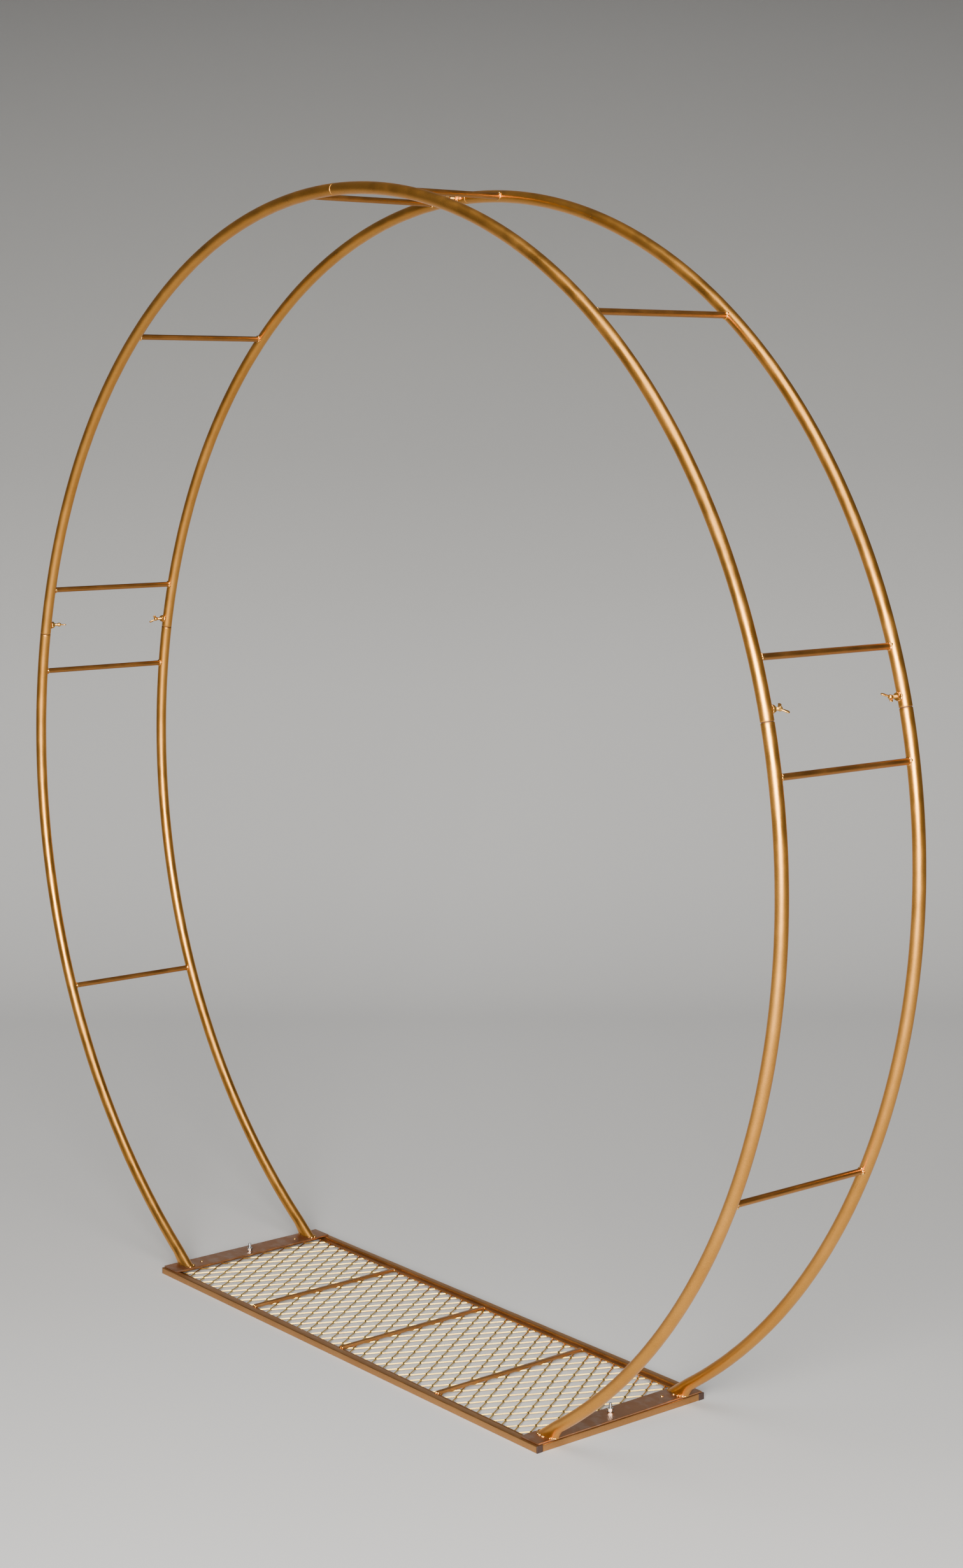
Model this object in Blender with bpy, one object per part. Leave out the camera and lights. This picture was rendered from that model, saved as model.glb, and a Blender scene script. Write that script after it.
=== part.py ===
"""Double-hoop floral arch stand: two round tube hoops on a low mesh base.

Each hoop is four bent tubes.  Lower and upper tubes plug together at the sides,
the two upper tubes plug together at the crown, and a wing bolt clamps each plug.
Short round spacers tie the front hoop to the rear hoop.  The lower tubes stand on
two foot plates, and a stud and nut hold each plate to the base.

Frame: X along the hoops, Y from front to rear, Z up.  The origin is on the floor
under the middle of the base.  All sizes are in metres.
"""
from math import cos, pi, radians, sin

import bmesh
import bpy
from mathutils import Matrix, Vector

GAP = 0.0003                    # left between pieces that touch or are welded

# Hoops
RING_RADIUS = 1.12              # centre line, from the crown down to the side joints
LOWER_RADIUS = 1.16             # the lower tubes are bent a little wider
RING_CENTRE_Z = 1.0137
RING_SPACING = 0.302            # between the two hoops' centre planes
TUBE_R = 0.011
TUBE_WALL = 0.0012
SIDE_JOINT = radians(76.0)      # from the crown
FOOT_END = radians(156.0)       # beyond the plate, then cut level with it
PLUG_LENGTH = 0.055
PLUG_CLEARANCE = 0.0003
TUBE_SIDES = 12
STEP = radians(4.75)            # longest stretch of hoop between two rings of points

# Spacers, as angles from the crown
SPACER_R = 0.0055
UPPER_SPACERS = (5.1, 37.9, 71.0)
LOWER_SPACERS = (80.3, 115.7)

# Wing bolts
BOLT_OFFSET = 0.018             # from a joint line to its bolt, along the tube
CROWN_OFFSET = 0.024
SCREW_R = 0.003
SCREW_CLEARANCE = 0.00015
BOSS_R = 0.0065
BOSS_HEIGHT = 0.006
SCREW_OUT = 0.009               # screw showing beyond the boss
HUB_R = 0.0048
HUB_LENGTH = 0.008
WING_SPAN = 0.026
WING_THICK = 0.0022
WING_TURNS = {"left_front": 0, "left_rear": 39, "right_front": 29, "right_rear": -25,
              "crown_front": 17, "crown_rear": 17}     # how far each head stopped turning, in degrees

# Base
BASE_LENGTH = 1.202
BASE_DEPTH = 0.388
RAIL = 0.013
RAIL_WALL = 0.0012
CAP_THICK = 0.0015
PLATE_WIDTH = 0.048
PLATE_THICK = 0.003
PLATE_INSET_X = 0.0015
PLATE_INSET_Y = 0.005
LEDGE_WIDTH = 0.010
END_LEDGE_WIDTH = 0.024
LEDGE_THICK = 0.0025
MESH_Z = 0.0045
MESH_THICK = 0.0015
LEDGE_Z = MESH_Z + MESH_THICK + GAP
MESH_LAP = 0.005                # how far the mesh reaches under the long ledges
END_LAP = 0.0013                # and under the end ledges
BAR_WIDTH = 0.008
BAR_HEIGHT = 0.006
STUD_R = 0.003
STUD_HEIGHT = 0.016             # above the plate
NUT_FLATS = 0.010
NUT_HEIGHT = 0.005
WASHER_R = 0.006
WASHER_THICK = 0.001

PLATE_Z = RAIL + GAP
PLATE_TOP = PLATE_Z + PLATE_THICK
PLATE_MAX_X = BASE_LENGTH / 2 - PLATE_INSET_X
STUD_X = 0.5685                 # on the end ledge, inboard of the end rail
PLUG_R = TUBE_R - TUBE_WALL - PLUG_CLEARANCE

GOLD = ("gold_paint", (0.62, 0.38, 0.15), 0.35, 0.85)
BROWN = ("bronze_paint", (0.42, 0.23, 0.10), 0.40, 0.80)
ZINC = ("zinc", (0.72, 0.74, 0.76), 0.30, 1.0)
PLASTIC = ("brown_plastic", (0.045, 0.022, 0.014), 0.55, 0.0)


def clear_scene():
    for obj in list(bpy.data.objects):
        bpy.data.objects.remove(obj)


def make_material(name, finish):
    _, colour, roughness, metallic = finish
    material = bpy.data.materials.new(name + "_" + finish[0])
    material.use_nodes = True
    shader = material.node_tree.nodes["Principled BSDF"]
    shader.inputs["Base Color"].default_value = (*colour, 1.0)
    shader.inputs["Roughness"].default_value = roughness
    shader.inputs["Metallic"].default_value = metallic
    return material


def add_object(name, bm, finish, matrix=None, smooth=False):
    """Turn a bmesh into a named object at the given place."""
    bmesh.ops.recalc_face_normals(bm, faces=bm.faces)
    mesh = bpy.data.meshes.new(name)
    bm.to_mesh(mesh)
    bm.free()
    if smooth:
        mesh.shade_smooth()
        mesh.set_sharp_from_angle(angle=radians(40))
    obj = bpy.data.objects.new(name, mesh)
    obj.data.materials.append(make_material(name, finish))
    if matrix is not None:
        obj.matrix_world = matrix
    bpy.context.scene.collection.objects.link(obj)
    return obj


def add_box(name, low, high, finish, bevel=0.0):
    """A box between two corners, with its origin at its middle."""
    low = Vector(low)
    high = Vector(high)
    bm = bmesh.new()
    bmesh.ops.create_cube(bm, size=1.0)
    bmesh.ops.scale(bm, vec=high - low, verts=bm.verts)
    if bevel:
        bmesh.ops.bevel(bm, geom=bm.edges, offset=bevel, segments=1, affect="EDGES")
    return add_object(name, bm, finish, Matrix.Translation((low + high) / 2))


def lathe(profile, sides):
    """Turn (radius, height) points about Z.  The profile is a closed loop off the axis,
    or an open line whose first and last points are on the axis."""
    bm = bmesh.new()
    rings = []
    for radius, height in profile:
        if radius == 0.0:
            rings.append([bm.verts.new((0.0, 0.0, height))])
            continue
        turn = [2 * pi * k / sides for k in range(sides)]
        rings.append([bm.verts.new((radius * cos(a), radius * sin(a), height)) for a in turn])
    closed = len(rings[0]) > 1
    pairs = list(zip(rings, rings[1:]))
    if closed:
        pairs.append((rings[-1], rings[0]))
    for first, second in pairs:
        for k in range(sides):
            nxt = (k + 1) % sides
            corners = [first[k % len(first)], first[nxt % len(first)],
                       second[nxt % len(second)], second[k % len(second)]]
            unique = list(dict.fromkeys(corners))
            bm.faces.new(unique)
    return bm


def rod(length, radius, sides):
    return lathe([(0.0, 0.0), (radius, 0.0), (radius, length), (0.0, length)], sides)


def collar(inner, outer, height, sides):
    return lathe([(inner, 0.0), (outer, 0.0), (outer, height), (inner, height)], sides)


def hoop_frame(angle, side):
    """Centre, outward direction and forward tangent of the right half of a hoop.

    The angle is the length along the hoop from the crown, over RING_RADIUS.
    side is -1 for the front hoop and 1 for the rear one.
    """
    centre = Vector((0.0, side * RING_SPACING / 2, RING_CENTRE_Z))
    radius = RING_RADIUS
    turned = angle
    if angle > SIDE_JOINT:
        joint_out = Vector((sin(SIDE_JOINT), 0.0, cos(SIDE_JOINT)))
        centre = centre + joint_out * (RING_RADIUS - LOWER_RADIUS)
        radius = LOWER_RADIUS
        turned = SIDE_JOINT + (angle - SIDE_JOINT) * RING_RADIUS / LOWER_RADIUS
    outward = Vector((sin(turned), 0.0, cos(turned)))
    tangent = Vector((cos(turned), 0.0, -sin(turned)))
    return centre + outward * radius, outward, tangent


def mirrored(vector, half):
    return Vector((vector.x * half, vector.y, vector.z))


def stations(start, end):
    count = max(1, round((end - start) / STEP))
    return [start + (end - start) * k / count for k in range(count + 1)]


def bent_tube(rows, side, half, level_end=None):
    """A hollow tube along a hoop.  rows are (angle, outer radius, inner radius), from
    one end to the other.  level_end cuts the last row flat at that height."""
    bm = bmesh.new()
    shells = ([], [])
    for index, (angle, outer, inner) in enumerate(rows):
        centre, outward, tangent = hoop_frame(angle, side)
        for shell, radius in zip(shells, (outer, inner)):
            ring = []
            for k in range(TUBE_SIDES):
                turn = 2 * pi * (k + 0.5) / TUBE_SIDES
                point = centre + radius * (cos(turn) * outward + sin(turn) * Vector((0, 1, 0)))
                if level_end is not None and index == len(rows) - 1:
                    point += tangent * ((level_end - point.z) / tangent.z)
                ring.append(bm.verts.new(mirrored(point, half)))
            shell.append(ring)
    for shell in shells:
        for first, second in zip(shell, shell[1:]):
            for k in range(TUBE_SIDES):
                nxt = (k + 1) % TUBE_SIDES
                bm.faces.new((first[k], first[nxt], second[nxt], second[k]))
    for end in (0, -1):
        for k in range(TUBE_SIDES):
            nxt = (k + 1) % TUBE_SIDES
            bm.faces.new((shells[0][end][k], shells[0][end][nxt],
                          shells[1][end][nxt], shells[1][end][k]))
    return bm


def plug_rows(joint, direction):
    """Rows of a necked end that reaches PLUG_LENGTH past the joint line."""
    tip = joint + direction * PLUG_LENGTH / RING_RADIUS
    chamfer = tip - direction * 0.003 / RING_RADIUS
    inner = PLUG_R - TUBE_WALL
    return [(tip, PLUG_R - 0.001, inner), (chamfer, PLUG_R, inner), (joint, PLUG_R, inner)]


def cut_bolt_hole(obj, place, toward):
    """Cut a round hole for a screw through the wall that faces the other hoop."""
    bm = rod(0.010, SCREW_R + 0.0004, 12)
    cutter = add_object(obj.name + "_cutter", bm, GOLD, bolt_matrix(place, toward, PLUG_R - 0.002))
    cutter.hide_render = True
    cutter.display_type = "WIRE"
    hole = obj.modifiers.new("bolt_hole", "BOOLEAN")
    hole.operation = "DIFFERENCE"
    hole.solver = "EXACT"
    hole.object = cutter


def bolt_matrix(place, toward, out):
    """A place whose Z points from a tube towards the other hoop, out from its centre line."""
    turn = Matrix.Rotation(-toward * pi / 2, 4, "X")
    return Matrix.Translation(place + Vector((0.0, toward * out, 0.0))) @ turn


def side_name(side):
    return "front" if side < 0 else "rear"


def half_name(half):
    return "left" if half < 0 else "right"


def build_lower_tube(side, half):
    neck = plug_rows(SIDE_JOINT, -1)
    outer, inner = TUBE_R, TUBE_R - TUBE_WALL
    start = SIDE_JOINT + GAP / RING_RADIUS
    rows = neck[:-1] + [(start, PLUG_R, PLUG_R - TUBE_WALL)]
    rows.append((start + 0.0004, outer, PLUG_R - TUBE_WALL))
    rows.append((start + 0.004, outer, inner))
    rows += [(angle, outer, inner) for angle in stations(start + 0.01, FOOT_END)]
    foot = PLATE_TOP + GAP
    rows = [row for row in rows if hoop_frame(row[0], side)[0].z > foot + 0.025]
    rows.append((FOOT_END, outer, inner))
    bm = bent_tube(rows, side, half, foot)
    name = "lower_%s_tube_%s" % (half_name(half), side_name(side))
    add_object(name, bm, GOLD, smooth=True)


def build_upper_tube(side, half):
    """The right tubes carry a plug at the crown, and the left tubes slide over it."""
    outer, inner = TUBE_R, TUBE_R - TUBE_WALL
    gap = GAP / RING_RADIUS
    plug = PLUG_LENGTH / RING_RADIUS
    if half > 0:
        rows = plug_rows(0.0, -1)[:-1]
        rows.append((gap, PLUG_R, PLUG_R - TUBE_WALL))
        rows.append((gap + 0.0004, outer, PLUG_R - TUBE_WALL))
        rows.append((gap + 0.004, outer, inner))
        first = gap + 0.01
    else:
        rows = [(0.0, outer, inner)]
        first = plug
    rows += [(angle, outer, inner) for angle in stations(first, SIDE_JOINT - plug)]
    rows.append((SIDE_JOINT - gap, outer, inner))
    bm = bent_tube(rows, side, half)
    name = "upper_%s_tube_%s" % (half_name(half), side_name(side))
    tube = add_object(name, bm, GOLD, smooth=True)
    toward = -side
    cut_bolt_hole(tube, side_bolt_place(side, half), toward)
    if half < 0:
        cut_bolt_hole(tube, crown_bolt_place(side), toward)


def side_bolt_place(side, half):
    centre = hoop_frame(SIDE_JOINT - BOLT_OFFSET / RING_RADIUS, side)[0]
    return mirrored(centre, half)


def crown_bolt_place(side):
    centre = hoop_frame(CROWN_OFFSET / RING_RADIUS, side)[0]
    return mirrored(centre, -1)


def build_spacers():
    reach = RING_SPACING / 2 - TUBE_R - GAP
    for half in (-1, 1):
        for level, angles in (("upper", UPPER_SPACERS), ("lower", LOWER_SPACERS)):
            for number, degrees in enumerate(angles, start=1):
                place = mirrored(hoop_frame(radians(degrees), 0)[0], half)
                matrix = bolt_matrix(place, 1, -reach)
                name = "%s_%s_spacer_%d" % (level, half_name(half), number)
                add_object(name, rod(2 * reach, SPACER_R, 10), GOLD, matrix, smooth=True)


def wing_profile(reach):
    """One ear of the wing head, in the plane of the screw's axis."""
    root = HUB_R * 0.8
    tip = reach
    return [(root, 0.001), (tip * 0.72, 0.003), (tip, 0.007), (tip, 0.013),
            (tip * 0.86, 0.0155), (tip * 0.62, 0.013), (root, HUB_LENGTH - 0.0005)]


def wing_head():
    """A hub with two flat ears, joined into one body."""
    hub = rod(HUB_LENGTH, HUB_R, 12)
    hub_mesh = bpy.data.meshes.new("hub")
    bmesh.ops.recalc_face_normals(hub, faces=hub.faces)
    hub.to_mesh(hub_mesh)
    hub.free()
    bm = bmesh.new()
    for direction in (-1, 1):
        outline = [(direction * x, z) for x, z in wing_profile(WING_SPAN / 2)]
        near = [bm.verts.new((x, -WING_THICK / 2, z)) for x, z in outline]
        far = [bm.verts.new((x, WING_THICK / 2, z)) for x, z in outline]
        bm.faces.new(near)
        bm.faces.new(list(reversed(far)))
        for k in range(len(near)):
            nxt = (k + 1) % len(near)
            bm.faces.new((near[k], far[k], far[nxt], near[nxt]))
    bmesh.ops.recalc_face_normals(bm, faces=bm.faces)
    return hub_mesh, bm


def build_wing_bolt(corner, place, toward):
    """A welded boss, the screw through it, and the wing head on the screw's end."""
    name = corner + "_wing_bolt"
    boss_out = TUBE_R + GAP
    boss = collar(SCREW_R + SCREW_CLEARANCE, BOSS_R, BOSS_HEIGHT, 12)
    add_object(name + "_boss", boss, GOLD, bolt_matrix(place, toward, boss_out), smooth=True)

    tip_out = PLUG_R + GAP
    screw_length = boss_out + BOSS_HEIGHT + SCREW_OUT - tip_out
    screw = rod(screw_length, SCREW_R, 12)
    add_object(name + "_screw", screw, GOLD, bolt_matrix(place, toward, tip_out), smooth=True)

    head_out = tip_out + screw_length + GAP
    hub_mesh, wings = wing_head()
    turned = bolt_matrix(place, toward, head_out)
    turned = turned @ Matrix.Rotation(radians(WING_TURNS[corner]), 4, "Z")
    hub = add_object(name + "_head", wings, GOLD, turned)
    cutter = bpy.data.objects.new(name + "_hub", hub_mesh)
    cutter.matrix_world = hub.matrix_world
    cutter.hide_render = True
    cutter.display_type = "WIRE"
    bpy.context.scene.collection.objects.link(cutter)
    join = hub.modifiers.new("hub", "BOOLEAN")
    join.operation = "UNION"
    join.solver = "EXACT"
    join.object = cutter


def build_hoops():
    for side in (-1, 1):
        for half in (-1, 1):
            build_lower_tube(side, half)
            build_upper_tube(side, half)
            corner = "%s_%s" % (half_name(half), side_name(side))
            build_wing_bolt(corner, side_bolt_place(side, half), -side)
        build_wing_bolt("crown_" + side_name(side), crown_bolt_place(side), -side)
    build_spacers()


def square_tube(name, low, high):
    """A hollow square rail along X or Y, open at both ends."""
    low = Vector(low)
    high = Vector(high)
    size = high - low
    along = 0 if size.x > size.y else 1
    bm = bmesh.new()
    shells = []
    for inset in (0.0, RAIL_WALL):
        rings = []
        for end in (-0.5, 0.5):
            ring = []
            for across, up in ((-0.5, -0.5), (0.5, -0.5), (0.5, 0.5), (-0.5, 0.5)):
                point = [0.0, 0.0, up * (size.z - 2 * inset)]
                point[along] = end * size[along]
                point[1 - along] = across * (size[1 - along] - 2 * inset)
                ring.append(bm.verts.new(point))
            rings.append(ring)
        shells.append(rings)
    for k in range(4):
        nxt = (k + 1) % 4
        for rings in shells:
            bm.faces.new((rings[0][k], rings[0][nxt], rings[1][nxt], rings[1][k]))
        for end in (0, 1):
            bm.faces.new((shells[0][end][k], shells[0][end][nxt],
                          shells[1][end][nxt], shells[1][end][k]))
    add_object(name, bm, BROWN, Matrix.Translation((low + high) / 2))


def build_rails():
    half_length = BASE_LENGTH / 2 - CAP_THICK - GAP
    half_depth = BASE_DEPTH / 2
    for side in (-1, 1):
        near, far = sorted((side * half_depth, side * (half_depth - RAIL)))
        square_tube(side_name(side) + "_rail", (-half_length, near, 0.0), (half_length, far, RAIL))
        for half in (-1, 1):
            edges = sorted((half * (half_length + GAP), half * BASE_LENGTH / 2))
            name = "%s_rail_%s_cap" % (side_name(side), half_name(half))
            add_box(name, (edges[0], near, 0.0), (edges[1], far, RAIL), PLASTIC, 0.0004)
    reach = half_depth - RAIL - GAP
    for half in (-1, 1):
        edges = sorted((half * (BASE_LENGTH / 2), half * (BASE_LENGTH / 2 - RAIL)))
        name = half_name(half) + "_end_rail"
        square_tube(name, (edges[0], -reach, 0.0), (edges[1], reach, RAIL))


def build_ledges():
    inner_x = BASE_LENGTH / 2 - RAIL - GAP
    inner_y = BASE_DEPTH / 2 - RAIL - GAP
    top = LEDGE_Z + LEDGE_THICK
    for side in (-1, 1):
        near, far = sorted((side * inner_y, side * (inner_y - LEDGE_WIDTH)))
        add_box(side_name(side) + "_ledge", (-inner_x, near, LEDGE_Z), (inner_x, far, top), GOLD)
    reach = inner_y - LEDGE_WIDTH - GAP
    for half in (-1, 1):
        edges = sorted((half * inner_x, half * (inner_x - END_LEDGE_WIDTH)))
        name = half_name(half) + "_ledge"
        add_box(name, (edges[0], -reach, LEDGE_Z), (edges[1], reach, top), GOLD)


def build_mesh_and_bars():
    half_x = BASE_LENGTH / 2 - RAIL - END_LEDGE_WIDTH + END_LAP
    half_y = BASE_DEPTH / 2 - RAIL - LEDGE_WIDTH + MESH_LAP
    high = MESH_Z + MESH_THICK
    add_box("mesh_panel", (-half_x, -half_y, MESH_Z), (half_x, half_y, high), GOLD)
    reach = BASE_DEPTH / 2 - RAIL - LEDGE_WIDTH - 2 * GAP
    pitch = (BASE_LENGTH - 2 * RAIL) / 4
    for number in (-1, 0, 1):
        middle = number * pitch
        add_box("cross_bar_%d" % (number + 2),
                (middle - BAR_WIDTH / 2, -reach, high + GAP),
                (middle + BAR_WIDTH / 2, reach, high + GAP + BAR_HEIGHT), BROWN)


def plate_with_hole(low, high, hole_r, sides):
    """A rectangular plate between two corners, with a round hole at its origin."""
    bm = bmesh.new()
    corners = ((high[0], high[1]), (low[0], high[1]), (low[0], low[1]), (high[0], low[1]))
    layers = []
    for z in (0.0, PLATE_THICK):
        outer = [bm.verts.new((x, y, z)) for x, y in corners]
        turn = [2 * pi * (k + 0.5) / sides for k in range(sides)]
        inner = [bm.verts.new((hole_r * cos(a), hole_r * sin(a), z)) for a in turn]
        layers.append((outer, inner))
    quarter = sides // 4
    for outer, inner in layers:
        for corner in range(4):
            first = corner * quarter
            for k in range(first, first + quarter - 1):
                bm.faces.new((outer[corner], inner[k + 1], inner[k]))
            last = inner[first + quarter - 1]
            following = inner[(first + quarter) % sides]
            bm.faces.new((outer[corner], outer[(corner + 1) % 4], following, last))
    for index, count in ((0, 4), (1, sides)):
        for k in range(count):
            nxt = (k + 1) % count
            bottom, top = layers[0][index], layers[1][index]
            bm.faces.new((bottom[k], bottom[nxt], top[nxt], top[k]))
    return bm


def build_foot(half):
    """A foot plate with the stud, washer and nut that hold it to the base."""
    name = half_name(half)
    x = half * STUD_X
    half_y = BASE_DEPTH / 2 - PLATE_INSET_Y
    edges = sorted((half * PLATE_MAX_X - x, half * (PLATE_MAX_X - PLATE_WIDTH) - x))
    plate = plate_with_hole((edges[0], -half_y), (edges[1], half_y), STUD_R + 0.0004, 12)
    add_object(name + "_foot_plate", plate, BROWN, Matrix.Translation((x, 0.0, PLATE_Z)))

    stud_z = LEDGE_Z + LEDGE_THICK + GAP
    add_object(name + "_stud", rod(PLATE_TOP + STUD_HEIGHT - stud_z, STUD_R, 12), ZINC,
               Matrix.Translation((x, 0.0, stud_z)), smooth=True)
    washer_z = PLATE_TOP + GAP
    clearance = STUD_R + SCREW_CLEARANCE
    add_object(name + "_washer", collar(clearance, WASHER_R, WASHER_THICK, 16), ZINC,
               Matrix.Translation((x, 0.0, washer_z)), smooth=True)
    nut_z = washer_z + WASHER_THICK + GAP
    add_object(name + "_nut", hex_nut(clearance), ZINC, Matrix.Translation((x, 0.0, nut_z)))


def hex_nut(bore):
    corner_r = NUT_FLATS / 2 / cos(pi / 6)
    bm = bmesh.new()
    layers = []
    for z in (0.0, NUT_HEIGHT):
        turn = [2 * pi * k / 12 for k in range(12)]
        outer = []
        for k, a in enumerate(turn):
            reach = corner_r if k % 2 == 0 else NUT_FLATS / 2
            outer.append(bm.verts.new((reach * cos(a), reach * sin(a), z)))
        inner = [bm.verts.new((bore * cos(a), bore * sin(a), z)) for a in turn]
        layers.append((outer, inner))
    for k in range(12):
        nxt = (k + 1) % 12
        for outer, inner in layers:
            bm.faces.new((outer[k], outer[nxt], inner[nxt], inner[k]))
        for index in (0, 1):
            low, high = layers[0][index], layers[1][index]
            bm.faces.new((low[k], low[nxt], high[nxt], high[k]))
    return bm


def main():
    clear_scene()
    build_rails()
    build_ledges()
    build_mesh_and_bars()
    build_hoops()
    for half in (-1, 1):
        build_foot(half)


main()
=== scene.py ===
"""Looks of the double-hoop floral arch stand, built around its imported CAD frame."""
import random
from math import cos, pi, radians, sin

import bmesh
import bpy
from mathutils import Matrix, Vector


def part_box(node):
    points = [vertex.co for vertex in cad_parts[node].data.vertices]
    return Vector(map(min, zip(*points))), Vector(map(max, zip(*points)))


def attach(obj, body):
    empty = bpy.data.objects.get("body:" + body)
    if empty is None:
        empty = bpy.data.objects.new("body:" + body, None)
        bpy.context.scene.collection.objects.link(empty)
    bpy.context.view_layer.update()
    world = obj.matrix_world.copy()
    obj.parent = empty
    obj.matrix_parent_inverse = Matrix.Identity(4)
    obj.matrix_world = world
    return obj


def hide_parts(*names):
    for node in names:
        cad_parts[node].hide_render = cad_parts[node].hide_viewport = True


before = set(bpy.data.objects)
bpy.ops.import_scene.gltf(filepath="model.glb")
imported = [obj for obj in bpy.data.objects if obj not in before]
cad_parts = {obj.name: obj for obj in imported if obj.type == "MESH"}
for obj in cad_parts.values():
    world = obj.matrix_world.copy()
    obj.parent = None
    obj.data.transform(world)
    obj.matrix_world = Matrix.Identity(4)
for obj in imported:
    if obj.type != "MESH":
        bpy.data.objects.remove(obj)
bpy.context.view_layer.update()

# Hoop geometry, as in the CAD model
GAP = 0.0003
RING_RADIUS = 1.12
LOWER_RADIUS = 1.16
RING_CENTRE_Z = 1.0137
RING_SPACING = 0.302
TUBE_R = 0.011
TUBE_WALL = 0.0012
SIDE_JOINT = radians(76.0)
FOOT_END = radians(156.0)
PLUG_LENGTH = 0.055
PLUG_R = TUBE_R - TUBE_WALL - 0.0003
JOINT_SLIT = 0.0009
SPACER_R = 0.0055
UPPER_SPACERS = (5.1, 37.9, 71.0)
LOWER_SPACERS = (80.3, 115.7)
BOLT_OFFSET = 0.018
WING_SPAN = 0.026
WING_TURNS = {"left_front": 0, "left_rear": 39, "right_front": 29, "right_rear": -25,
              "crown_front": 17, "crown_rear": 17}
CROWN_OFFSET = 0.024
SCREW_R = 0.003
HOLE_R = SCREW_R + 0.0004
DRILL_LENGTH = 0.008
BOSS_REACH = 0.0065
BOSS_FLATS = 0.0122
NUT_FLATS = 0.010
NUT_PLAY = 0.0002
THREAD_PITCH = 0.001

# Expanded metal
DIAMOND_X = 0.0348
DIAMOND_Y = 0.0516
STRAND_WIDTH = 0.0022
STRAND_THICK = 0.0015
STRAND_TILT = radians(50.0)
BOND_SHARE = 0.035

# Base
RAIL_WALL = 0.0012
RAIL_CORNER = 0.0016
CAP_PLUG_LENGTH = 0.010
RIVET_YS = (-0.115, 0.117)

# View and backdrop
VIEW_AZIMUTH = radians(51.467)
VIEW_ELEVATION = radians(8.311)
VIEW_ROLL = radians(-0.316)
VIEW_DISTANCE = 4.586
VIEW_TARGET = Vector((0.2168, 0.0, 1.0629))
VIEW_SHIFT_Y = 0.0126
SENSOR = 36.0
LENS = 95.62
PAINTED_FALLOFF_HEIGHT = 4.0

Y_AXIS = Vector((0.0, 1.0, 0.0))
rng = random.Random(7)


# ---------------------------------------------------------------- materials

def new_material(name):
    """A new node material, with its nodes, links and main shader."""
    material = bpy.data.materials.new(name)
    material.use_nodes = True
    nodes = material.node_tree.nodes
    return material, nodes, material.node_tree.links, nodes["Principled BSDF"]


def noise(nodes, links, scale, detail, stretch=(1, 1, 1)):
    """A noise texture in object space, stretched along an axis if asked."""
    place = nodes.new("ShaderNodeTexCoord")
    mapping = nodes.new("ShaderNodeMapping")
    mapping.inputs["Scale"].default_value = stretch
    texture = nodes.new("ShaderNodeTexNoise")
    texture.inputs["Scale"].default_value = scale
    texture.inputs["Detail"].default_value = detail
    links.new(place.outputs["Object"], mapping.inputs["Vector"])
    links.new(mapping.outputs["Vector"], texture.inputs["Vector"])
    return texture


def ramp(nodes, links, source, stops):
    """A colour ramp over a value, from (position, colour) stops."""
    node = nodes.new("ShaderNodeValToRGB")
    elements = node.color_ramp.elements
    elements[0].position = stops[0][0]
    elements[0].color = (*stops[0][1], 1)
    elements[1].position = stops[-1][0]
    elements[1].color = (*stops[-1][1], 1)
    for position, colour in stops[1:-1]:
        extra = elements.new(position)
        extra.color = (*colour, 1)
    links.new(source, node.inputs["Fac"])
    return node


def multiply(nodes, links, first, second):
    """The product of two colours."""
    mix = nodes.new("ShaderNodeMix")
    mix.data_type = "RGBA"
    mix.blend_type = "MULTIPLY"
    mix.inputs["Factor"].default_value = 1.0
    links.new(first, mix.inputs["A"])
    links.new(second, mix.inputs["B"])
    return mix.outputs["Result"]


def paint(name, dark, light, roughness, mottle=9.0, scuffs=0.0):
    """Sprayed metallic paint: cloudy colour, flake and orange peel, with optional scuffs."""
    material, nodes, links, shader = new_material(name)
    clouds = noise(nodes, links, mottle, 4)
    colour = ramp(nodes, links, clouds.outputs["Fac"], [(0.3, dark), (0.7, light)])
    flake = noise(nodes, links, 1400.0, 1)
    sparkle = ramp(nodes, links, flake.outputs["Fac"], [(0.35, (0.82,) * 3), (0.65, (1.12,) * 3)])
    final = multiply(nodes, links, colour.outputs["Color"], sparkle.outputs["Color"])
    smudge = noise(nodes, links, 26.0, 6)
    low = max(0.05, roughness - 0.07)
    spread = [(0.3, (low,) * 3), (0.75, (roughness + 0.1,) * 3)]
    rough = ramp(nodes, links, smudge.outputs["Fac"], spread)
    links.new(rough.outputs["Color"], shader.inputs["Roughness"])
    if scuffs:
        patch = noise(nodes, links, 34.0, 9, (1.0, 1.5, 1.0))
        grey = tuple(0.5 * c + 0.26 for c in light)
        keep = ramp(nodes, links, patch.outputs["Fac"], [(0.5, (0, 0, 0)), (0.62, (scuffs,) * 3)])
        worn = nodes.new("ShaderNodeMix")
        worn.data_type = "RGBA"
        links.new(keep.outputs["Color"], worn.inputs["Factor"])
        links.new(final, worn.inputs["A"])
        worn.inputs["B"].default_value = (*grey, 1)
        final = worn.outputs["Result"]
    links.new(final, shader.inputs["Base Color"])
    peel = noise(nodes, links, 420.0, 2)
    bump = nodes.new("ShaderNodeBump")
    bump.inputs["Strength"].default_value = 0.10
    bump.inputs["Distance"].default_value = 0.0004
    links.new(peel.outputs["Fac"], bump.inputs["Height"])
    links.new(bump.outputs["Normal"], shader.inputs["Normal"])
    shader.inputs["Metallic"].default_value = 0.97
    return material


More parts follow.
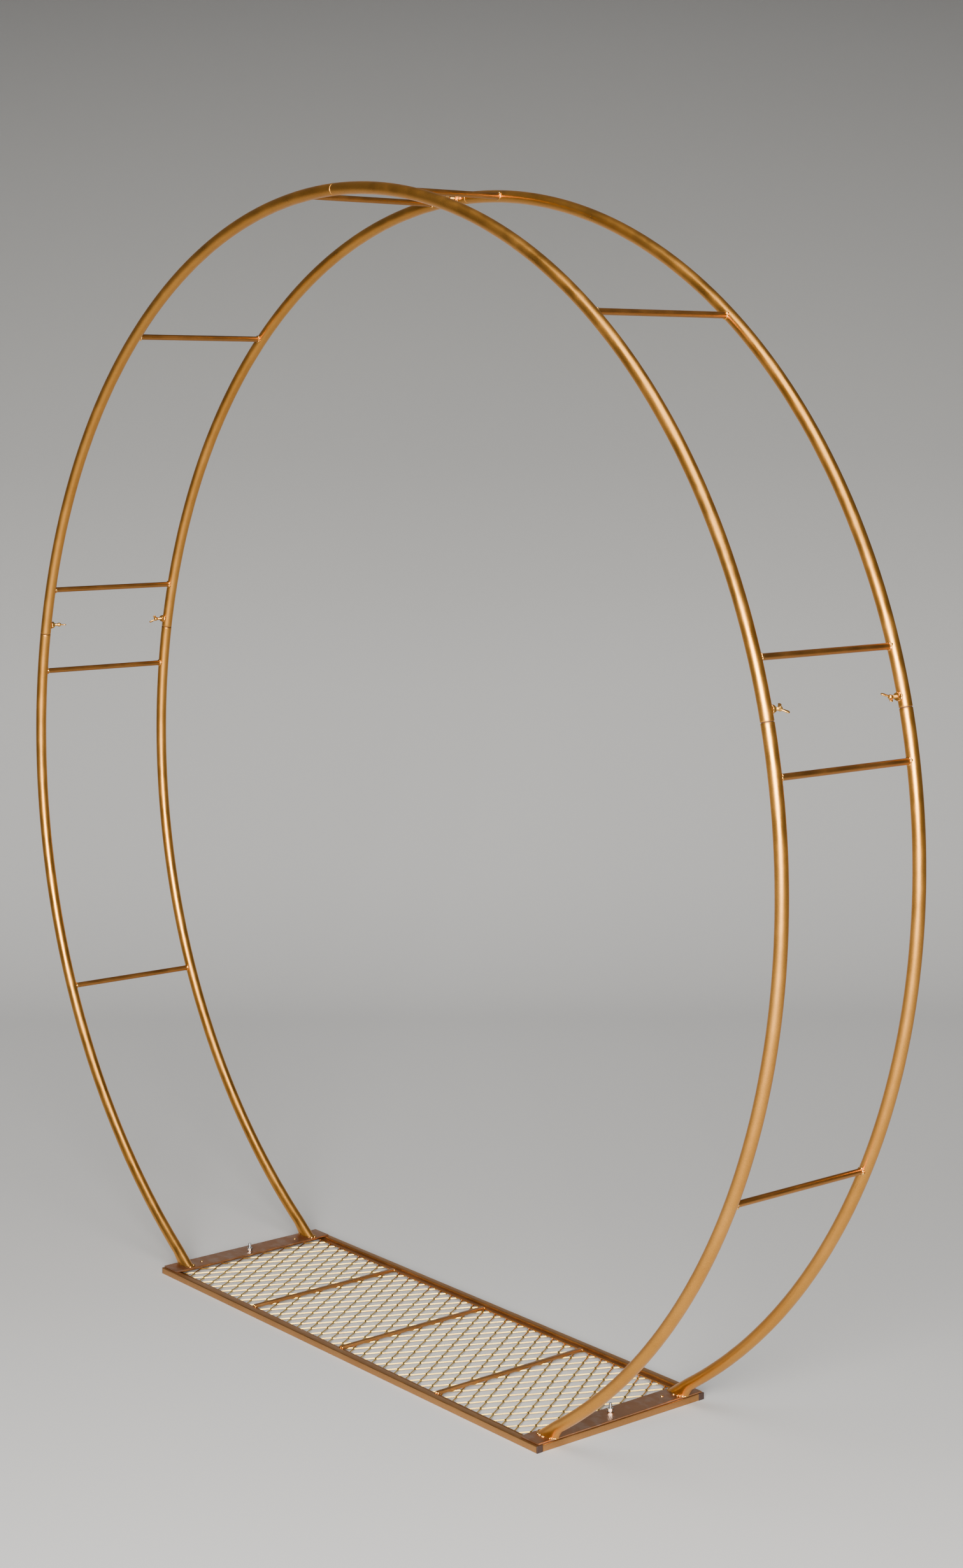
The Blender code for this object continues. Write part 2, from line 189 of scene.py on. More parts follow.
def plastic(name, dark, light):
    """A dull, finely grained surface."""
    material, nodes, links, shader = new_material(name)
    grain = noise(nodes, links, 900.0, 2)
    colour = ramp(nodes, links, grain.outputs["Fac"], [(0.35, dark), (0.65, light)])
    links.new(colour.outputs["Color"], shader.inputs["Base Color"])
    bump = nodes.new("ShaderNodeBump")
    bump.inputs["Strength"].default_value = 0.25
    bump.inputs["Distance"].default_value = 0.0002
    links.new(grain.outputs["Fac"], bump.inputs["Height"])
    links.new(bump.outputs["Normal"], shader.inputs["Normal"])
    shader.inputs["Roughness"].default_value = 0.55
    return material


def zinc_plate(name):
    """Bright plated steel."""
    material, nodes, links, shader = new_material(name)
    clouds = noise(nodes, links, 180.0, 3)
    colour = ramp(nodes, links, clouds.outputs["Fac"],
                  [(0.3, (0.55, 0.57, 0.60)), (0.7, (0.83, 0.85, 0.86))])
    links.new(colour.outputs["Color"], shader.inputs["Base Color"])
    turning = noise(nodes, links, 900.0, 2, (1.0, 1.0, 6.0))
    rough = ramp(nodes, links, turning.outputs["Fac"], [(0.3, (0.16,) * 3), (0.7, (0.34,) * 3)])
    links.new(rough.outputs["Color"], shader.inputs["Roughness"])
    shader.inputs["Metallic"].default_value = 1.0
    return material


TUBE_PAINT = paint("tube_paint", (0.61, 0.268, 0.047), (0.70, 0.325, 0.066), 0.34, mottle=7.0)
# The spacer paint is a darker copy of the tube paint: painted shade, since the horizontal spacer rods catch
# less of the light than the tubes.
SHADED_SPACER_PAINT = paint("spacer_paint_painted_shade", (0.38, 0.165, 0.04), (0.46, 0.205, 0.055), 0.38)
BOLT_PAINT = paint("bolt_paint", (0.66, 0.33, 0.07), (0.78, 0.42, 0.10), 0.28)
WELD_PAINT = paint("weld_paint", (0.70, 0.35, 0.07), (0.95, 0.56, 0.17), 0.18, mottle=160.0)
RAIL_PAINT = paint("rail_paint", (0.44, 0.215, 0.075), (0.51, 0.26, 0.095), 0.40)
PLATE_PAINT = paint("plate_paint", (0.38, 0.18, 0.085), (0.46, 0.225, 0.11), 0.40, scuffs=0.35)
LEDGE_PAINT = paint("ledge_paint", (0.38, 0.165, 0.05), (0.45, 0.205, 0.068), 0.40)
MESH_PAINT = paint("mesh_paint", (0.82, 0.50, 0.11), (0.95, 0.66, 0.17), 0.24, mottle=40.0)
CAP_PLASTIC = plastic("cap_plastic", (0.022, 0.010, 0.006), (0.05, 0.024, 0.016))
# The plugs are near black: steel darkened into painted shade, so the slit between tube sections reads as a
# shaded groove.
PLUG_STEEL_PAINTED_SHADE = plastic("plug_steel_painted_shade", (0.035, 0.020, 0.012), (0.07, 0.042, 0.026))
ZINC = zinc_plate("zinc_plate")


# ---------------------------------------------------------------- piece helpers

def add_piece(name, bm, material, body, replaced=(), matrix=None, smooth=40.0):
    """Make a mesh piece, ride it on a body and let it stand for CAD nodes."""
    bmesh.ops.recalc_face_normals(bm, faces=bm.faces)
    mesh = bpy.data.meshes.new(name)
    if matrix is not None:
        bmesh.ops.transform(bm, matrix=matrix, verts=bm.verts)
    bm.to_mesh(mesh)
    bm.free()
    if smooth:
        mesh.shade_smooth()
        mesh.set_sharp_from_angle(angle=radians(smooth))
    mesh.materials.append(material)
    obj = bpy.data.objects.new(name, mesh)
    bpy.context.scene.collection.objects.link(obj)
    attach(obj, body)
    if replaced:
        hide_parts(*replaced)
    return obj


def merge_into(bm, other, matrix=None):
    """Copy another bmesh into this one, as a separate closed shell."""
    mesh = bpy.data.meshes.new("scratch")
    if matrix is not None:
        bmesh.ops.transform(other, matrix=matrix, verts=other.verts)
    bmesh.ops.recalc_face_normals(other, faces=other.faces)
    other.to_mesh(mesh)
    other.free()
    bm.from_mesh(mesh)
    bpy.data.meshes.remove(mesh)


def join_rings(bm, rings):
    """Faces between each ring of points and the next."""
    for first, second in zip(rings, rings[1:]):
        for k in range(len(first)):
            nxt = (k + 1) % len(first)
            bm.faces.new((first[k], first[nxt], second[nxt], second[k]))


def lathe(profile, sides):
    """Turn (radius, height) points about Z; radius 0 closes an end."""
    bm = bmesh.new()
    rings = []
    for radius, height in profile:
        if radius == 0.0:
            rings.append([bm.verts.new((0.0, 0.0, height))])
            continue
        turn = [2 * pi * k / sides for k in range(sides)]
        rings.append([bm.verts.new((radius * cos(a), radius * sin(a), height)) for a in turn])
    pairs = list(zip(rings, rings[1:]))
    if len(rings[0]) > 1:
        pairs.append((rings[-1], rings[0]))
    for first, second in pairs:
        for k in range(sides):
            nxt = (k + 1) % sides
            corners = [first[k % len(first)], first[nxt % len(first)],
                       second[nxt % len(second)], second[k % len(second)]]
            bm.faces.new(list(dict.fromkeys(corners)))
    return bm


def hoop_frame(angle, side):
    """Centre, outward direction and tangent of the right half of a hoop."""
    centre = Vector((0.0, side * RING_SPACING / 2, RING_CENTRE_Z))
    radius = RING_RADIUS
    turned = angle
    if angle > SIDE_JOINT:
        joint_out = Vector((sin(SIDE_JOINT), 0.0, cos(SIDE_JOINT)))
        centre = centre + joint_out * (RING_RADIUS - LOWER_RADIUS)
        radius = LOWER_RADIUS
        turned = SIDE_JOINT + (angle - SIDE_JOINT) * RING_RADIUS / LOWER_RADIUS
    outward = Vector((sin(turned), 0.0, cos(turned)))
    tangent = Vector((cos(turned), 0.0, -sin(turned)))
    return centre + outward * radius, outward, tangent


def mirrored(vector, half):
    """The same place or direction in the right (1) or left (-1) half."""
    return Vector((vector.x * half, vector.y, vector.z))


def toward_matrix(place, toward, out):
    """A place whose Z points from a tube towards the other hoop, out from its centre line."""
    turn = Matrix.Rotation(-toward * pi / 2, 4, "X")
    return Matrix.Translation(place + Vector((0.0, toward * out, 0.0))) @ turn


def side_name(side):
    return "front" if side < 0 else "rear"


def half_name(half):
    return "left" if half < 0 else "right"


# ---------------------------------------------------------------- tubes

TUBE_SIDES = 28


def bent_tube(rows, side, half, level_end=None):
    """A hollow tube along a hoop, from rows of (angle, outer radius, inner radius)."""
    bm = bmesh.new()
    shells = ([], [])
    for index, (angle, outer, inner) in enumerate(rows):
        centre, outward, tangent = hoop_frame(angle, side)
        for shell, radius in zip(shells, (outer, inner)):
            ring = []
            for k in range(TUBE_SIDES):
                turn = 2 * pi * k / TUBE_SIDES
                point = centre + radius * (cos(turn) * outward + sin(turn) * Y_AXIS)
                if level_end is not None and index == len(rows) - 1:
                    point += tangent * ((level_end - point.z) / tangent.z)
                ring.append(bm.verts.new(mirrored(point, half)))
            shell.append(ring)
    for shell in shells:
        join_rings(bm, shell)
    for end in (0, -1):
        for k in range(TUBE_SIDES):
            nxt = (k + 1) % TUBE_SIDES
            bm.faces.new((shells[0][end][k], shells[0][end][nxt],
                          shells[1][end][nxt], shells[1][end][k]))
    return bm


def stations(start, end):
    """Evenly spaced angles from one end to the other."""
    count = max(1, round((end - start) / radians(1.2)))
    return [start + (end - start) * k / count for k in range(count + 1)]


def rounded_start(angle, direction, inner):
    """A sawn and eased tube end, from its face to the full outside."""
    step = direction / RING_RADIUS
    return [(angle, TUBE_R - 0.0006, inner), (angle + 0.0003 * step, TUBE_R - 0.0002, inner),
            (angle + 0.0008 * step, TUBE_R, inner)]


def side_bolt_place(side, half):
    return mirrored(hoop_frame(SIDE_JOINT - BOLT_OFFSET / RING_RADIUS, side)[0], half)


def crown_bolt_place(side):
    return mirrored(hoop_frame(CROWN_OFFSET / RING_RADIUS, side)[0], -1)


def drilled(bm, places, toward):
    """The same tube, with a screw hole through its wall at each place."""
    objects = []
    for name in ("undrilled",) + ("drill",) * len(places):
        mesh = bpy.data.meshes.new(name)
        obj = bpy.data.objects.new(name, mesh)
        bpy.context.scene.collection.objects.link(obj)
        objects.append(obj)
    tube = objects[0]
    bmesh.ops.recalc_face_normals(bm, faces=bm.faces)
    bm.to_mesh(tube.data)
    bm.free()
    for drill, place in zip(objects[1:], places):
        cutter = bmesh.new()
        bmesh.ops.create_cone(cutter, cap_ends=True, segments=24, radius1=HOLE_R,
                              radius2=HOLE_R, depth=DRILL_LENGTH)
        matrix = toward_matrix(place, toward, TUBE_R)
        bmesh.ops.transform(cutter, matrix=matrix, verts=cutter.verts)
        bmesh.ops.recalc_face_normals(cutter, faces=cutter.faces)
        cutter.to_mesh(drill.data)
        cutter.free()
        hole = tube.modifiers.new("hole", "BOOLEAN")
        hole.operation = "DIFFERENCE"
        hole.solver = "EXACT"
        hole.object = drill
    result = bmesh.new()
    result.from_object(tube, bpy.context.evaluated_depsgraph_get())
    for obj in objects:
        mesh = obj.data
        bpy.data.objects.remove(obj)
        bpy.data.meshes.remove(mesh)
    return result


def build_plug(name, joint, side, half):
    """The plug of the next tube, steel darkened to near black as painted shade, so that it shows as a dark
    groove where the sections meet.
    """
    step = 1.0 / RING_RADIUS
    inner = PLUG_R - TUBE_WALL
    tip = joint - PLUG_LENGTH * step
    rows = [(tip, PLUG_R - 0.0012, inner), (tip + 0.0016 * step, PLUG_R - 0.0003, inner),
            (tip + 0.0040 * step, PLUG_R, inner), (joint - 0.02 * step, PLUG_R, inner),
            (joint + 0.0012 * step, PLUG_R, inner)]
    bm = bent_tube(rows, side, half)
    add_piece(name, bm, PLUG_STEEL_PAINTED_SHADE, "stand")


def build_tubes():
    """The eight bent tubes; the uppers are drilled for their wing bolts."""
    inner = TUBE_R - TUBE_WALL
    step = 1.0 / RING_RADIUS
    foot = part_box("left_foot_plate")[1][2] + GAP
    for side in (-1, 1):
        for half in (-1, 1):
            corner = "%s_%s" % (half_name(half), side_name(side))
            rows = rounded_start(SIDE_JOINT + JOINT_SLIT * step, 1, PLUG_R - TUBE_WALL)
            rows += [(a, TUBE_R, inner) for a in stations(SIDE_JOINT + 0.004, FOOT_END)]
            rows = [row for row in rows if hoop_frame(row[0], side)[0].z > foot + 0.016]
            rows.append((FOOT_END, TUBE_R, inner))
            name = "lower_%s_tube_%s" % (half_name(half), side_name(side))
            bm = bent_tube(rows, side, half, foot)
            add_piece(name + "_skin", bm, TUBE_PAINT, "stand", [name])
            build_plug(corner + "_plug", SIDE_JOINT, side, half)

            first = JOINT_SLIT if half > 0 else 0.0
            rows = rounded_start(first * step, 1, inner)
            angles = stations(0.004, SIDE_JOINT - 0.004)
            for bolt in (CROWN_OFFSET * step, SIDE_JOINT - BOLT_OFFSET * step):
                angles += [bolt - BOSS_REACH * step, bolt + BOSS_REACH * step]
            rows += [(a, TUBE_R, inner) for a in sorted(angles)]
            rows += list(reversed(rounded_start(SIDE_JOINT - 0.0002 * step, -1, inner)))
            name = "upper_%s_tube_%s" % (half_name(half), side_name(side))
            places = [side_bolt_place(side, half)]
            if half < 0:
                places.append(crown_bolt_place(side))
            bm = drilled(bent_tube(rows, side, half), places, -side)
            add_piece(name + "_skin", bm, TUBE_PAINT, "stand", [name])
        build_plug("crown_%s_plug" % side_name(side), 0.0, side, 1)


# ---------------------------------------------------------------- welds and spacers

def bead(radius, thickness, lumps, stretch=1.0):
    """A lumpy weld round a tube about Z; stretch makes its path an ellipse along X."""
    bm = bmesh.new()
    around = 48
    across = 8
    rings = []
    phase = rng.uniform(0, 2 * pi)
    for k in range(around):
        a = 2 * pi * k / around
        swell = 1.0 + 0.28 * sin(lumps * a + phase) + rng.uniform(-0.12, 0.12)
        middle = Vector((radius * stretch * cos(a), radius * sin(a), 0.0))
        out = Vector((cos(a) / stretch, sin(a), 0.0)).normalized()
        ring = []
        for j in range(across):
            b = 2 * pi * j / across
            offset = out * cos(b) + Vector((0.0, 0.0, sin(b)))
            ring.append(bm.verts.new(middle + offset * (thickness * swell)))
        rings.append(ring)
    join_rings(bm, rings + rings[:1])
    return bm


def blob(radius, height):
    """A small lumpy spot of weld, standing on z = 0."""
    bm = bmesh.new()
    bmesh.ops.create_icosphere(bm, subdivisions=2, radius=1.0)
    for vert in bm.verts:
        swell = 1.0 + rng.uniform(-0.14, 0.14)
        vert.co = Vector((vert.co.x * radius * swell, vert.co.y * radius * swell,
                          vert.co.z * height * swell))
    return bm


def build_spacers():
    """Round bars whose ends are let into the tubes and welded on both sides."""
    reach = RING_SPACING / 2 - TUBE_R + 0.0011
    for half in (-1, 1):
        for level, angles in (("upper", UPPER_SPACERS), ("lower", LOWER_SPACERS)):
            for number, degrees in enumerate(angles, start=1):
                place, outward, tangent = hoop_frame(radians(degrees), 0)
                place = mirrored(place, half)
                outward = mirrored(outward, half)
                tangent = mirrored(tangent, half)
                name = "%s_%s_spacer_%d" % (level, half_name(half), number)
                profile = [(0.0, 0.0), (SPACER_R, 0.0), (SPACER_R, 2 * reach), (0.0, 2 * reach)]
                add_piece(name + "_rod", lathe(profile, 28), SHADED_SPACER_PAINT, "stand",
                          [name], toward_matrix(place, 1, -reach))
                beads = bmesh.new()
                for end in (-1, 1):
                    ring = bead(SPACER_R + 0.0004, 0.0013, rng.randint(5, 8))
                    merge_into(beads, ring, toward_matrix(place, 1, end * (reach - 0.0016)))
                    for flank in (-1, 1):
                        spot = place + outward * (flank * (SPACER_R - 0.0002))
                        spot = spot + tangent * rng.uniform(-0.0025, 0.0025)
                        spot.y += end * (reach - 0.0006)
                        lump = blob(rng.uniform(0.0026, 0.0034), rng.uniform(0.0022, 0.0030))
                        merge_into(beads, lump, Matrix.Translation(spot))
                add_piece(name + "_welds", beads, WELD_PAINT, "stand", smooth=60.0)


def build_foot_welds():
    """A lumpy fillet round each foot, where the tube meets its plate on the slant."""
    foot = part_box("left_foot_plate")[1][2]
    for side in (-1, 1):
        for half in (-1, 1):
            angle = FOOT_END
            centre, _, tangent = hoop_frame(angle, side)
            centre = centre + tangent * ((foot - centre.z) / tangent.z)
            stretch = 1.0 / abs(tangent.z)
            ring = bead(TUBE_R - 0.0001, 0.0014, 11, stretch)
            for number in range(7):
                spot = blob(rng.uniform(0.0018, 0.0032), rng.uniform(0.0014, 0.0028))
                turn = -pi / 2 * half + rng.uniform(-1.3, 1.3)
                offset = Vector((cos(turn) * TUBE_R * stretch, sin(turn) * TUBE_R * 1.12, 0.0))
                merge_into(ring, spot, Matrix.Translation(offset))
            matrix = Matrix.Translation(mirrored(centre, half) + Vector((0, 0, 0.0006)))
            name = "foot_weld_%s_%s" % (half_name(half), side_name(side))
            add_piece(name, ring, WELD_PAINT, "stand", matrix=matrix, smooth=60.0)


# ---------------------------------------------------------------- wing bolts

def threaded_rod(length, radius):
    """A screw whose ridge climbs one pitch a turn, closed at both ends."""
    bm = bmesh.new()
    sides = 20
    per_turn = 6
    rows = round(length / THREAD_PITCH * per_turn)
    depth = radius * 0.14
    rings = []
    for j in range(rows + 1):
        z = length * j / rows
        ring = []
        for k in range(sides):
            a = 2 * pi * k / sides
            wave = (z / THREAD_PITCH - a / (2 * pi)) % 1.0
            ridge = 1.0 - abs(2.0 * wave - 1.0)
            fade = min(1.0, j / 3, (rows - j) / 3)
            r = radius - depth * (1.0 - ridge * fade)
            ring.append(bm.verts.new((r * cos(a), r * sin(a), z)))
        rings.append(ring)
    join_rings(bm, rings)
    bm.faces.new(list(reversed(rings[0])))
    bm.faces.new(rings[-1])
    return bm


def wing_head(hub_length, hub_r, span):
    """A ball-shaped hub on a short neck, with two cast ears leaning outwards."""
    middle = hub_length * 0.52
    profile = [(0.0, 0.0), (hub_r * 0.62, 0.0), (hub_r * 0.70, 0.0005), (hub_r * 0.74, 0.0010)]
    for k in range(1, 10):
        turn = -0.9 + k * (pi / 2 + 0.9) / 10
        profile.append((hub_r * cos(turn), middle + (hub_length - middle) * sin(turn)))
    profile.append((0.0, hub_length))
    bm = lathe(profile, 28)
    start = Vector((hub_r * 0.35, 0.0, middle - 0.0008))
    finish = Vector((span / 2 - 0.0028, 0.0, 0.0124))
    run = (finish - start).normalized()
    rise = Vector((-run.z, 0.0, run.x))
    for direction in (-1, 1):
        ear = bmesh.new()
        outline = []
        for share, half_width in ((0.0, 0.0020), (0.35, 0.0022), (0.7, 0.0027)):
            outline.append(start.lerp(finish, share) - rise * half_width)
        for k in range(9):
            turn = -pi / 2 + pi * k / 8
            outline.append(finish + run * (0.0029 * cos(turn)) + rise * (0.0029 * sin(turn)))
        for share, half_width in ((0.7, 0.0027), (0.35, 0.0022), (0.0, 0.0020)):
            outline.append(start.lerp(finish, share) + rise * half_width)
        centre = start.lerp(finish, 0.55)
        layers = []
        for y, scale in ((-0.0012, 0.80), (-0.0009, 0.93), (-0.0004, 1.0), (0.0004, 1.0),
                         (0.0009, 0.93), (0.0012, 0.80)):
            layer = []
            for point in outline:
                spot = centre + (point - centre) * scale
                layer.append(ear.verts.new((direction * spot.x, y, spot.z)))
            layers.append(layer)
        ear.faces.new(layers[0])
        ear.faces.new(list(reversed(layers[-1])))
        for low, high in zip(layers, layers[1:]):
            for k in range(len(low)):
                nxt = (k + 1) % len(low)
                ear.faces.new((low[k], high[k], high[nxt], low[nxt]))
        merge_into(bm, ear)
    return bm


def hexagon(flats, height, bore, chamfer):
    """A hex nut with chamfered corners, about Z."""
    corner = flats / 2 / cos(pi / 6)
    bm = bmesh.new()
    sides = 36
    levels = ((0.0, corner - chamfer), (chamfer * 0.6, corner), (height - chamfer * 0.6, corner),
              (height, corner - chamfer))
    rings = []
    for z, limit in levels:
        ring = []
        for k in range(sides):
            a = 2 * pi * k / sides
            local = (a + pi / 6) % (pi / 3) - pi / 6
            r = min(limit, flats / 2 / cos(local))
            ring.append(bm.verts.new((r * cos(a), r * sin(a), z)))
        rings.append(ring)
    for z, r in ((height, bore + 0.0005), (height - 0.0005, bore), (0.0005, bore),
                 (0.0, bore + 0.0005)):
        turn = [2 * pi * k / sides for k in range(sides)]
        rings.append([bm.verts.new((r * cos(a), r * sin(a), z)) for a in turn])
    join_rings(bm, rings + rings[:1])
    return bm


def build_wing_bolt(corner, place, toward):
    """A boss welded to the tube, its weld, the screw and the wing head."""
    name = corner + "_wing_bolt"
    boss_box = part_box(name + "_boss")
    screw_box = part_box(name + "_screw")
    boss_height = boss_box[1][1] - boss_box[0][1]
    boss_out = TUBE_R + GAP
    boss = hexagon(BOSS_FLATS, boss_height, SCREW_R + NUT_PLAY, 0.0006)
    add_piece(name + "_nut", boss, BOLT_PAINT, "stand", [name + "_boss"],
              toward_matrix(place, toward, boss_out), 25.0)
    ring = bead(0.0062, 0.0014, 7)
    add_piece(name + "_weld", ring, WELD_PAINT, "stand",
              matrix=toward_matrix(place, toward, TUBE_R + 0.0006), smooth=60.0)

    length = screw_box[1][1] - screw_box[0][1]
    screw_out = PLUG_R + GAP
    screw = threaded_rod(length, SCREW_R)
    add_piece(name + "_thread", screw, BOLT_PAINT, name + "_screw",
              [name + "_screw"], toward_matrix(place, toward, screw_out), 35.0)

    head = wing_head(0.008, 0.0045, WING_SPAN)
    head_out = screw_out + length + GAP
    turn = Matrix.Rotation(radians(WING_TURNS[corner]), 4, "Z")
    matrix = toward_matrix(place, toward, head_out) @ turn
    add_piece(name + "_wings", head, BOLT_PAINT, name + "_head",
              [name + "_head"], matrix, 50.0)


def build_wing_bolts():
    for side in (-1, 1):
        for half in (-1, 1):
            corner = "%s_%s" % (half_name(half), side_name(side))
            build_wing_bolt(corner, side_bolt_place(side, half), -side)
        build_wing_bolt("crown_" + side_name(side), crown_bolt_place(side), -side)


# ---------------------------------------------------------------- base

def rounded_square(width, height, corner):
    """Outline of a box section with round corners, centred on the origin."""
    steps = 4
    points = []
    for turn, (sx, sy) in enumerate(((1, 1), (-1, 1), (-1, -1), (1, -1))):
        cx = sx * (width / 2 - corner)
        cy = sy * (height / 2 - corner)
        for k in range(steps + 1):
            a = pi / 2 * (turn + k / steps)
            points.append((cx + corner * cos(a), cy + corner * sin(a)))
    return points


def section_along(axis, low, high, wall, corner):
    """A hollow box section between two corners of its box, along X or Y."""
    size = high - low
    other = 1 - axis
    bm = bmesh.new()
    shells = []
    for inset in (0.0, wall):
        outline = rounded_square(size[other] - 2 * inset, size.z - 2 * inset,
                                 max(0.0003, corner - inset))
        rings = []
        for end in (-0.5, 0.5):
            ring = []
            for across, up in outline:
                point = [0.0, 0.0, up]
                point[axis] = end * size[axis]
                point[other] = across
                ring.append(bm.verts.new(Vector(point) + (low + high) / 2))
            rings.append(ring)
        shells.append(rings)
    count = len(shells[0][0])
    for k in range(count):
        nxt = (k + 1) % count
        for rings in shells:
            bm.faces.new((rings[0][k], rings[0][nxt], rings[1][nxt], rings[1][k]))
        for end in (0, 1):
            bm.faces.new((shells[0][end][k], shells[0][end][nxt],
                          shells[1][end][nxt], shells[1][end][k]))
    return bm


def bevelled_box(low, high, bevel, segments=2):
    """A box between two corners with rounded edges."""
    bm = bmesh.new()
    bmesh.ops.create_cube(bm, size=1.0)
    bmesh.ops.scale(bm, vec=high - low, verts=bm.verts)
    bmesh.ops.translate(bm, vec=(low + high) / 2, verts=bm.verts)
    bmesh.ops.bevel(bm, geom=bm.edges, offset=bevel, segments=segments, affect="EDGES",
                    profile=0.5)
    return bm


def corners(node):
    """The low and high corner of a CAD piece."""
    low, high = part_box(node)
    return Vector(low), Vector(high)


def build_rails():
    """The square rails, and the plastic caps in the ends of the long ones."""
    for side in (-1, 1):
        name = side_name(side) + "_rail"
        low, high = corners(name)
        bm = section_along(0, low, high, RAIL_WALL, RAIL_CORNER)
        add_piece(name + "_tube", bm, RAIL_PAINT, "stand", [name], smooth=35.0)
        for half in (-1, 1):
            cap = "%s_rail_%s_cap" % (side_name(side), half_name(half))
            low, high = corners(cap)
            bm = bevelled_box(low, high, 0.0007, 3)
            plug_low = Vector(low)
            plug_high = Vector(high)
            for axis in (1, 2):
                plug_low[axis] += 0.0016
                plug_high[axis] -= 0.0016
            if half > 0:
                plug_low.x -= CAP_PLUG_LENGTH
                plug_high.x -= 0.0006
            else:
                plug_low.x += 0.0006
                plug_high.x += CAP_PLUG_LENGTH
            merge_into(bm, bevelled_box(plug_low, plug_high, 0.0008))
            add_piece(cap + "_insert", bm, CAP_PLASTIC, "stand", [cap], smooth=35.0)
    for half in (-1, 1):
        name = half_name(half) + "_end_rail"
        low, high = corners(name)
        bm = section_along(1, low, high, RAIL_WALL, RAIL_CORNER)
        add_piece(name + "_tube", bm, RAIL_PAINT, "stand", [name], smooth=35.0)


def build_flat_bars():
    """The ledges round the mesh, and the cross bars with a weld at each corner."""
    for name in ("front_ledge", "rear_ledge", "left_ledge", "right_ledge"):
        low, high = corners(name)
        bm = bevelled_box(low, high, 0.0005)
        add_piece(name + "_bar", bm, LEDGE_PAINT, "stand", [name], smooth=35.0)
    for number in (1, 2, 3):
        name = "cross_bar_%d" % number
        low, high = corners(name)
        bm = bevelled_box(low, high, 0.0007)
        add_piece(name + "_flat", bm, RAIL_PAINT, "stand", [name], smooth=35.0)
        spots = bmesh.new()
        for y in (low.y, high.y):
            for x in (low.x + 0.0015, high.x - 0.0015):
                place = Vector((x, y + rng.uniform(-0.001, 0.001), low.z + 0.0032))
                merge_into(spots, blob(0.0028, 0.0022), Matrix.Translation(place))
        add_piece(name + "_welds", spots, WELD_PAINT, "stand", smooth=60.0)


def build_plates():
    """The two foot plates with their rivets, studs, washers and nuts."""
    for half in (-1, 1):
        name = half_name(half) + "_foot_plate"
        low, high = corners(name)
        stud_low, stud_high = corners(half_name(half) + "_stud")
        stud = (stud_low + stud_high) / 2
        bm = plate_with_hole(low, high, stud, HOLE_R)
        add_piece(name + "_flat", bm, PLATE_PAINT, "stand", [name], smooth=30.0)
        build_stud(half, stud)
        rivets = bmesh.new()
        middle = (low.x + high.x) / 2 - half * 0.002
        for y in RIVET_YS:
            dome = lathe([(0.0, -0.0005), (0.0030, 0.0), (0.0028, 0.0008), (0.0020, 0.0015),
                          (0.0, 0.0018)], 20)
            merge_into(rivets, dome, Matrix.Translation((middle, y, high.z)))
        add_piece(name + "_rivets", rivets, WELD_PAINT, "stand", smooth=50.0)


def plate_with_hole(low, high, hole, hole_r):
    """A flat bar with eased edges and a round hole."""
    ease = 0.0005
    bm = bmesh.new()
    sides = 32
    levels = ((low.z, ease), (low.z + ease, 0.0), (high.z - ease, 0.0), (high.z, ease))
    outer = []
    for z, inset in levels:
        ring = []
        for x, y in ((high.x - inset, high.y - inset), (low.x + inset, high.y - inset),
                     (low.x + inset, low.y + inset), (high.x - inset, low.y + inset)):
            ring.append(bm.verts.new((x, y, z)))
        outer.append(ring)
    inner = []
    for z in (low.z, high.z):
        turn = [2 * pi * (k + 0.5) / sides for k in range(sides)]
        inner.append([bm.verts.new((hole.x + hole_r * cos(a), hole.y + hole_r * sin(a), z))
                      for a in turn])
    quarter = sides // 4
    for ring, hole_ring in ((outer[0], inner[0]), (outer[-1], inner[1])):
        for corner in range(4):
            first = corner * quarter
            for k in range(first, first + quarter - 1):
                bm.faces.new((ring[corner], hole_ring[k + 1], hole_ring[k]))
            last = hole_ring[first + quarter - 1]
            following = hole_ring[(first + quarter) % sides]
            bm.faces.new((ring[corner], ring[(corner + 1) % 4], following, last))
    join_rings(bm, outer)
    join_rings(bm, inner)
    return bm


def build_stud(half, stud):
    """A stud with its washer and nut, and the weld spot on the ledge beside it."""
    name = half_name(half)
    low, high = corners(name + "_stud")
    at = Vector((stud.x, stud.y, low.z))
    rod = threaded_rod(high.z - low.z, SCREW_R)
    add_piece(name + "_stud_thread", rod, ZINC, "stand", [name + "_stud"],
              Matrix.Translation(at), 35.0)
    low, high = corners(name + "_washer")
    ease = 0.0002
    bore = SCREW_R + 0.00025
    outside = (high.x - low.x) / 2
    profile = [(bore, 0.0), (outside - ease, 0.0), (outside, ease),
               (outside, high.z - low.z - ease), (outside - ease, high.z - low.z),
               (bore, high.z - low.z)]
    add_piece(name + "_washer_disc", lathe(profile, 40), ZINC, name + "_washer",
              [name + "_washer"], Matrix.Translation((stud.x, stud.y, low.z)), 35.0)
    low, high = corners(name + "_nut")
    nut = hexagon(NUT_FLATS, high.z - low.z, SCREW_R + NUT_PLAY, 0.0007)
    matrix = Matrix.Translation((stud.x, stud.y, low.z)) @ Matrix.Rotation(0.25, 4, "Z")
    add_piece(name + "_hex_nut", nut, ZINC, name + "_nut", [name + "_nut"], matrix, 25.0)
    spot = blob(0.0028, 0.0016)
    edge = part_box(name + "_ledge")
    inner_x = edge[0][0] if half > 0 else edge[1][0]
    place = Vector((inner_x + half * 0.001, 0.004, edge[1][2] + 0.0006))
    add_piece(name + "_ledge_weld", spot, WELD_PAINT, "stand",
              matrix=Matrix.Translation(place), smooth=60.0)


# ---------------------------------------------------------------- expanded metal

